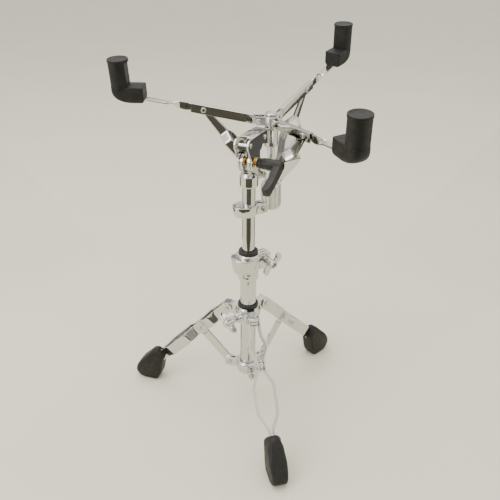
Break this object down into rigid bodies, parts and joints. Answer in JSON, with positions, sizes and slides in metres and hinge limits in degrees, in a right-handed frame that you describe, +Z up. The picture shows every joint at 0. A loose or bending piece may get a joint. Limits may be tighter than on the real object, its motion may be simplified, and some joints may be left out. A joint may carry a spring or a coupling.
{
  "type": "snare drum stand",
  "caption": "Chrome snare drum stand: folding tripod of doubled strips, telescoping column, T-handle tilter and a closing three-arm basket with rubber grips.",
  "frame": {"origin": "on the floor, under the middle of the stand's outline; the column's axis stands at x = -15.3 mm, y = 6.5 mm", "axes": "+Z up along the column; the front leg points along -Y"},
  "size_m": [0.4004, 0.399, 0.5805],
  "materials": {
    "chrome": "bright polished chrome plate",
    "satin_steel": "satin nickel-plated steel",
    "brass": "turned brass, polished",
    "black_nylon": "fine-grained moulded black nylon",
    "black_rubber": "matt moulded black rubber"
  },
  "bodies": {
    "base": {"base_tube": "chrome", "lower_hub": "chrome", "height_clamp": "chrome", "clamp_bolt": "chrome"},
    "clamp_nut": {"clamp_wing_nut": "chrome"},
    "collar": {"tripod_collar": "chrome", "collar_bushing": "black_nylon", "collar_pin_left": "satin_steel", "collar_pin_front": "satin_steel", "collar_pin_right": "satin_steel"},
    "collar_bolt": {"collar_wing_bolt": "chrome"},
    "bushing": {"clamp_bushing": "black_nylon"},
    "upper": {"upper_tube": "chrome", "memory_lock": "chrome", "memory_lock_screw": "satin_steel", "tilter_base": "chrome"},
    "tilt": {"tilter_bracket": "chrome", "tilter_bolt": "chrome", "brass_washer": "brass", "basket_tube": "chrome", "basket_hub": "chrome"},
    "handle": {"tilter_handle": "black_nylon"},
    "slider": {"strut_slider": "chrome"},
    "nut": {"basket_nut": "satin_steel"},
    "leg_left": {"leg_strip_a_left": "chrome", "leg_strip_b_left": "chrome", "leg_rivet_left": "satin_steel", "foot_left": "black_rubber"},
    "stay_left": {"stay_left": "chrome", "hub_pin_left": "satin_steel"},
    "leg_front": {"leg_strip_a_front": "chrome", "leg_strip_b_front": "chrome", "leg_rivet_front": "satin_steel", "foot_front": "black_rubber"},
    "stay_front": {"stay_front": "chrome", "hub_pin_front": "satin_steel"},
    "leg_right": {"leg_strip_a_right": "chrome", "leg_strip_b_right": "chrome", "leg_rivet_right": "satin_steel", "foot_right": "black_rubber"},
    "stay_right": {"stay_right": "chrome", "hub_pin_right": "satin_steel"},
    "arm_left": {"arm_channel_left": "chrome", "arm_rivet_left": "satin_steel", "arm_blade_left": "chrome", "grip_left": "black_rubber"},
    "strut_left": {"strut_left": "chrome"},
    "arm_front": {"arm_channel_front": "chrome", "arm_rivet_front": "satin_steel", "arm_blade_front": "chrome", "grip_front": "black_rubber"},
    "strut_front": {"strut_front": "chrome"},
    "arm_back": {"arm_channel_back": "chrome", "arm_rivet_back": "satin_steel", "arm_blade_back": "chrome", "grip_back": "black_rubber"},
    "strut_back": {"strut_back": "chrome"}
  },
  "joints": [
    {"name": "tripod_fold", "type": "slide", "parent": "base", "child": "collar", "axis": [0, 0, 1], "range_m": [0, 0.0355]},
    {"name": "leg_left_fold", "type": "hinge", "parent": "collar", "child": "leg_left", "pos_m": [-0.04448, 0.02335, 0.177], "axis": [-0.5, -0.866, 0], "range_deg": [0, 33]},
    {"name": "stay_left_fold", "type": "hinge", "parent": "base", "child": "stay_left", "pos_m": [-0.04189, 0.02185, 0.068], "axis": [0.5, 0.866, 0], "range_deg": [0, 29.1]},
    {"name": "leg_front_fold", "type": "hinge", "parent": "collar", "child": "leg_front", "pos_m": [-0.0153, -0.0272, 0.177], "axis": [1, 0, 0], "range_deg": [0, 33]},
    {"name": "stay_front_fold", "type": "hinge", "parent": "base", "child": "stay_front", "pos_m": [-0.0153, -0.0242, 0.068], "axis": [-1, 0, 0], "range_deg": [0, 29.1]},
    {"name": "leg_right_fold", "type": "hinge", "parent": "collar", "child": "leg_right", "pos_m": [0.01388, 0.02335, 0.177], "axis": [-0.5, 0.866, 0], "range_deg": [0, 33]},
    {"name": "stay_right_fold", "type": "hinge", "parent": "base", "child": "stay_right", "pos_m": [0.01129, 0.02185, 0.068], "axis": [0.5, -0.866, 0], "range_deg": [0, 29.1]},
    {"name": "collar_bolt_turn", "type": "hinge", "parent": "collar", "child": "collar_bolt", "pos_m": [-0.04561, -0.011, 0.171], "axis": [-0.866, -0.5, 0], "continuous": true},
    {"name": "clamp_nut_turn", "type": "hinge", "parent": "base", "child": "clamp_nut", "pos_m": [0.01778, -0.00189, 0.262], "axis": [0.3024, -0.9532, 0], "continuous": true},
    {"name": "swivel", "type": "hinge", "parent": "base", "child": "bushing", "pos_m": [-0.0153, 0.0065, 0.265], "axis": [0, 0, 1], "continuous": true},
    {"name": "height", "type": "slide", "parent": "bushing", "child": "upper", "axis": [0, 0, 1], "range_m": [-0.025, 0.085]},
    {"name": "tilt", "type": "hinge", "parent": "upper", "child": "tilt", "pos_m": [-0.0153, 0.0065, 0.4235], "axis": [0.7986, -0.6018, 0], "range_deg": [-14, 30]},
    {"name": "handle_turn", "type": "hinge", "parent": "tilt", "child": "handle", "pos_m": [0.00866, -0.01155, 0.4235], "axis": [0.7986, -0.6018, 0], "range_deg": [-60, 40]},
    {"name": "basket_close", "type": "slide", "parent": "tilt", "child": "slider", "axis": [-0.0572, -0.1146, 0.9918], "range_m": [-0.012, 0.01]},
    {"name": "arm_left_swing", "type": "hinge", "parent": "tilt", "child": "arm_left", "pos_m": [0.01049, 0.05291, 0.468], "axis": [0.3137, 0.941, 0.1269], "range_deg": [-10.6, 8.9]},
    {"name": "strut_left_swing", "type": "hinge", "parent": "slider", "child": "strut_left", "pos_m": [0.01446, 0.06309, 0.38269], "axis": [0.3137, 0.941, 0.1269], "range_deg": [-1.5, 1.3]},
    {"name": "arm_front_swing", "type": "hinge", "parent": "tilt", "child": "arm_front", "pos_m": [0.03004, 0.03094, 0.46658], "axis": [-0.9777, -0.1948, -0.0789], "range_deg": [-10.6, 8.9]},
    {"name": "strut_front_swing", "type": "hinge", "parent": "slider", "child": "strut_front", "pos_m": [0.03516, 0.03982, 0.38119], "axis": [-0.9777, -0.1948, -0.0789], "range_deg": [-1.5, 1.3]},
    {"name": "arm_back_swing", "type": "hinge", "parent": "tilt", "child": "arm_back", "pos_m": [0.03927, 0.05865, 0.47032], "axis": [0.664, -0.7462, -0.048], "range_deg": [-10.6, 8.9]},
    {"name": "strut_back_swing", "type": "hinge", "parent": "slider", "child": "strut_back", "pos_m": [0.04494, 0.06916, 0.38515], "axis": [0.664, -0.7462, -0.048], "range_deg": [-1.5, 1.3]},
    {"name": "nut_turn", "type": "hinge", "parent": "slider", "child": "nut", "pos_m": [0.03346, 0.06126, 0.34929], "axis": [-0.0572, -0.1146, 0.9918], "range_deg": [-870, 725]}
  ],
  "couplings": [
    {"joint": "leg_left_fold", "follows": "tripod_fold", "rad_per_m": 16.18},
    {"joint": "stay_left_fold", "follows": "tripod_fold", "rad_per_m": 14.247},
    {"joint": "leg_front_fold", "follows": "tripod_fold", "rad_per_m": 16.18},
    {"joint": "stay_front_fold", "follows": "tripod_fold", "rad_per_m": 14.247},
    {"joint": "leg_right_fold", "follows": "tripod_fold", "rad_per_m": 16.18},
    {"joint": "stay_right_fold", "follows": "tripod_fold", "rad_per_m": 14.247},
    {"joint": "arm_left_swing", "follows": "basket_close", "rad_per_m": 15.359},
    {"joint": "strut_left_swing", "follows": "basket_close", "rad_per_m": 2.0944},
    {"joint": "arm_front_swing", "follows": "basket_close", "rad_per_m": 15.359},
    {"joint": "strut_front_swing", "follows": "basket_close", "rad_per_m": 2.0944},
    {"joint": "arm_back_swing", "follows": "basket_close", "rad_per_m": 15.359},
    {"joint": "strut_back_swing", "follows": "basket_close", "rad_per_m": 2.0944},
    {"joint": "nut_turn", "follows": "basket_close", "rad_per_m": 1256.6}
  ]
}
